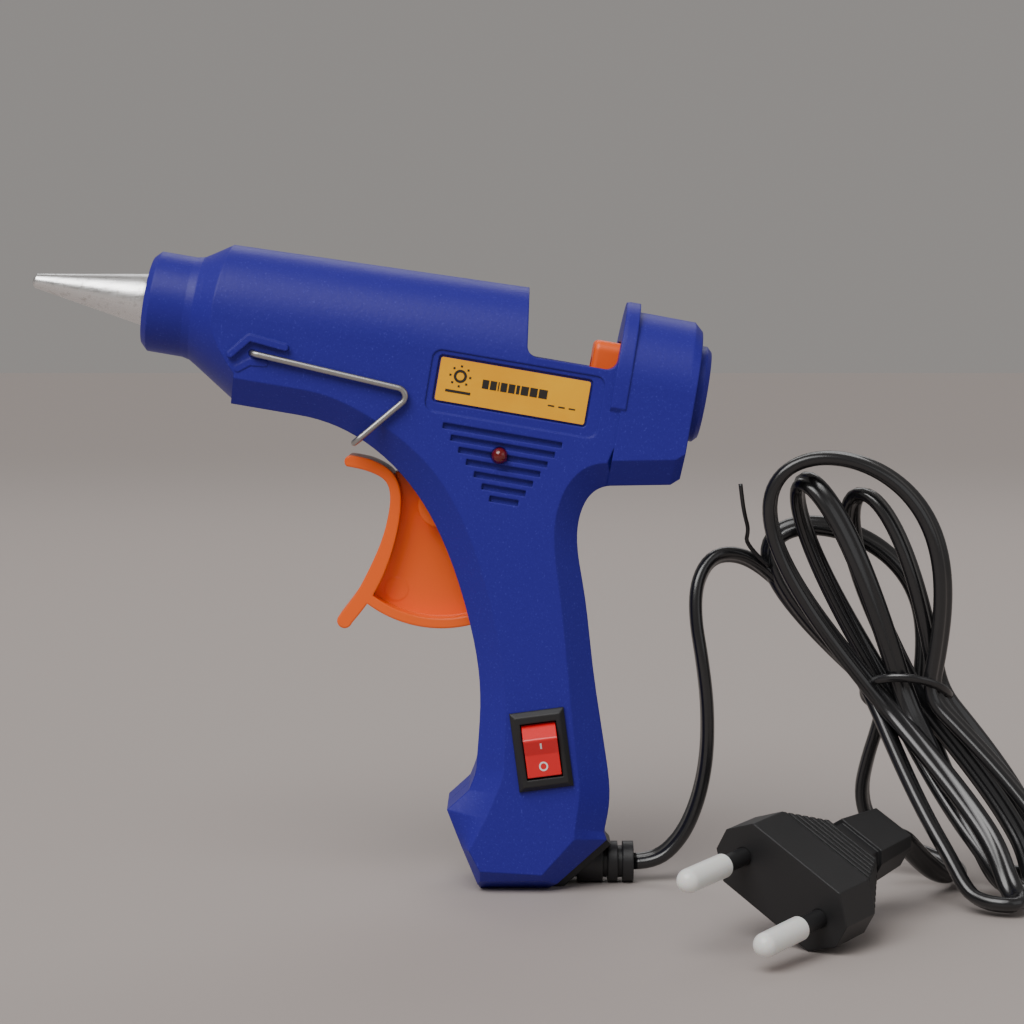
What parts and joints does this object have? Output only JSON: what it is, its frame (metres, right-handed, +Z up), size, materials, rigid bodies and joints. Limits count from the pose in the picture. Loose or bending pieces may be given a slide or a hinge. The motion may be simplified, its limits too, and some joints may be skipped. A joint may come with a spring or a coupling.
{
  "type": "glue gun",
  "caption": "Small hot-melt glue gun with a rocker switch, an indicator lamp, a swing-down wire stand, a squeeze trigger and a tied flat mains cord with a two-pin plug.",
  "frame": {"origin": "Middle of the foot of the grip, on the surface the gun stands on (mount grip_base).", "axes": "+Z is up. -X is the way the nozzle points as the gun stands on its foot, so +X runs from the nozzle to the back. -Y is the side with the switch."},
  "size_m": [0.2004, 0.0891, 0.1242],
  "materials": {
    "housing_plastic": "textured",
    "trigger_plastic": "glossy",
    "cast_alloy": "polished",
    "steel": "plain drawn wire",
    "cord_pvc": "smooth PVC",
    "black_plastic": "moulded",
    "white_plastic": "smooth",
    "plated_pins": "nickel plated",
    "silicone": "soft",
    "ceramic": "unglazed",
    "feeder_plastic": "moulded",
    "label_foil": "printed foil",
    "lamp_lens": "clear tinted",
    "rocker_plastic": "glossy",
    "wire_sleeve": "sleeving"
  },
  "bodies": {
    "body": {"clamp_screws": "steel", "cord_clamp": "black_plastic", "cord_hank": "cord_pvc", "cord_inner": "cord_pvc", "cord_lead": "cord_pvc", "cord_tail": "cord_pvc", "cord_tie": "cord_pvc", "heater_clip": "steel", "heater_insulation": "ceramic", "heater_plate": "ceramic", "housing_left": "housing_plastic", "housing_right": "housing_plastic", "housing_screws": "steel", "indicator_lamp": "lamp_lens", "inlet_sleeve": "silicone", "label_plate": "label_foil", "lamp_resistor": "ceramic", "lead_wires": "wire_sleeve", "melt_chamber": "cast_alloy", "nozzle": "cast_alloy", "nozzle_bush": "silicone", "pin_sleeves": "black_plastic", "plug_body": "black_plastic", "plug_pins": "plated_pins", "rear_guide": "black_plastic", "return_spring": "steel", "sleeve_clamp": "steel", "strain_relief": "cord_pvc", "switch_body": "black_plastic", "switch_terminals": "plated_pins", "trigger_pin": "steel"},
    "trigger": {"trigger": "trigger_plastic"},
    "feeder": {"feeder_carriage": "feeder_plastic", "feeder_pin": "steel"},
    "stand": {"wire_stand": "steel"},
    "rocker": {"switch_rocker": "rocker_plastic"},
    "cap_left": {"pin_cap_left": "white_plastic"},
    "cap_right": {"pin_cap_right": "white_plastic"}
  },
  "joints": [
    {"name": "trigger_pull", "type": "hinge", "parent": "body", "child": "trigger", "pos_m": [-0.01408, 0, 0.07432], "axis": [0, -1, 0], "range_deg": [0, 25], "stiffness_Nm_per_rad": 0.15, "springref_deg": -17.19},
    {"name": "feeder_slide", "type": "slide", "parent": "body", "child": "feeder", "axis": [-0.9857, 0, 0.1685], "range_m": [0, 0.00865]},
    {"name": "stand_swing", "type": "hinge", "parent": "body", "child": "stand", "pos_m": [-0.04947, 0, 0.1035], "axis": [0, 1, 0], "range_deg": [0, 131]},
    {"name": "rocker_tilt", "type": "hinge", "parent": "body", "child": "rocker", "pos_m": [0.00511, -0.0126, 0.02813], "axis": [-0.9914, 0, -0.1305], "range_deg": [0, 16]},
    {"name": "cap_left_off", "type": "slide", "parent": "body", "child": "cap_left", "axis": [-0.6137, -0.7855, -0.0802], "range_m": [0, 0.0125]},
    {"name": "cap_right_off", "type": "slide", "parent": "body", "child": "cap_right", "axis": [-0.6137, -0.7855, -0.0802], "range_m": [0, 0.0125]}
  ],
  "couplings": [
    {"joint": "feeder_slide", "follows": "trigger_pull", "m_per_rad": 0.019815}
  ]
}
